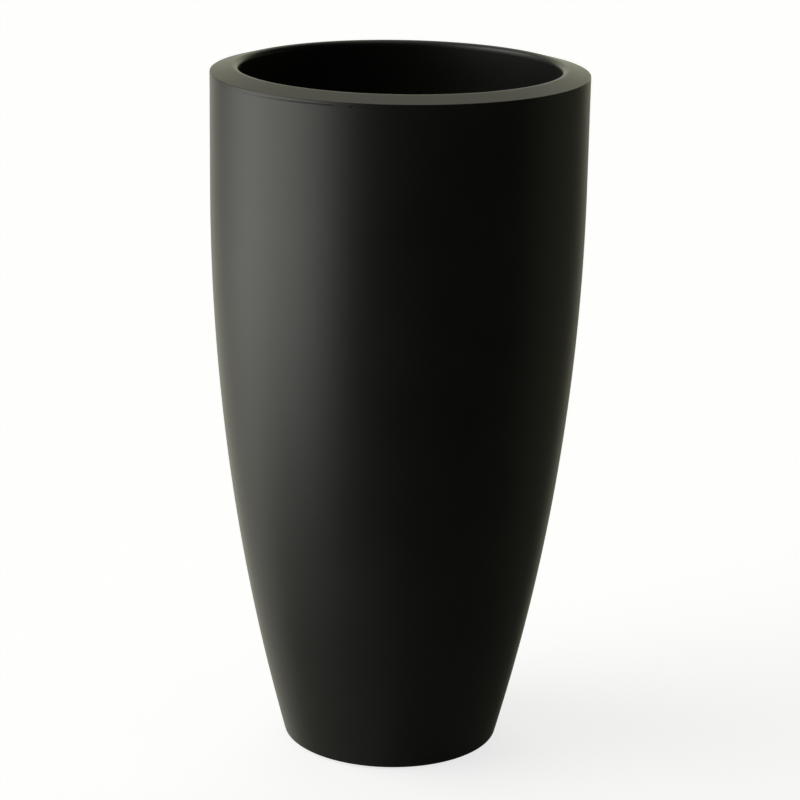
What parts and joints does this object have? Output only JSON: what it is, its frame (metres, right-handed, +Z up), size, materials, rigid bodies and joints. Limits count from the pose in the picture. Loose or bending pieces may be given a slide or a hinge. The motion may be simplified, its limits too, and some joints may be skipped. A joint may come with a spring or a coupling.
{
  "type": "tall round planter",
  "caption": "Tall round planter, tapering to a narrow base, with a wide flat rim and a lift-out planting pot hung on a ledge inside it.",
  "frame": {"origin": "on the floor under the planter's axis, at the middle of the pads' undersides", "axes": "+Z up along the planter's axis; +X towards the right lift handle; +Y away from the picture's viewer"},
  "size_m": [0.39, 0.39, 0.7315],
  "materials": {
    "shell_plastic": "moulded shell with a fine matte texture, anthracite",
    "pot_plastic": "injection moulded polypropylene, black",
    "stopper_rubber": "moulded black rubber",
    "pad_rubber": "moulded dark grey rubber",
    "handle_wire": "bent stainless steel wire"
  },
  "bodies": {
    "planter": {"body_shell": "shell_plastic", "rim_ring": "shell_plastic", "pot_ledge": "shell_plastic", "foot_pad_1": "pad_rubber", "foot_pad_2": "pad_rubber", "foot_pad_3": "pad_rubber", "foot_pad_4": "pad_rubber"},
    "planting_pot": {"inner_pot": "pot_plastic"},
    "right_handle": {"lift_handle_right": "handle_wire"},
    "left_handle": {"lift_handle_left": "handle_wire"},
    "stopper": {"drain_plug": "stopper_rubber"}
  },
  "joints": [
    {"name": "pot_lift", "type": "slide", "parent": "planter", "child": "planting_pot", "axis": [0, 0, 1], "range_m": [0, 0.42]},
    {"name": "right_handle_fold", "type": "hinge", "parent": "planting_pot", "child": "right_handle", "pos_m": [0.088, 0, 0.6506], "axis": [0, -1, 0], "range_deg": [0, 180]},
    {"name": "left_handle_fold", "type": "hinge", "parent": "planting_pot", "child": "left_handle", "pos_m": [-0.088, 0, 0.6506], "axis": [0, 1, 0], "range_deg": [0, 180]},
    {"name": "stopper_lift", "type": "slide", "parent": "planter", "child": "stopper", "axis": [0, 0, 1], "range_m": [0, 0.1]}
  ]
}
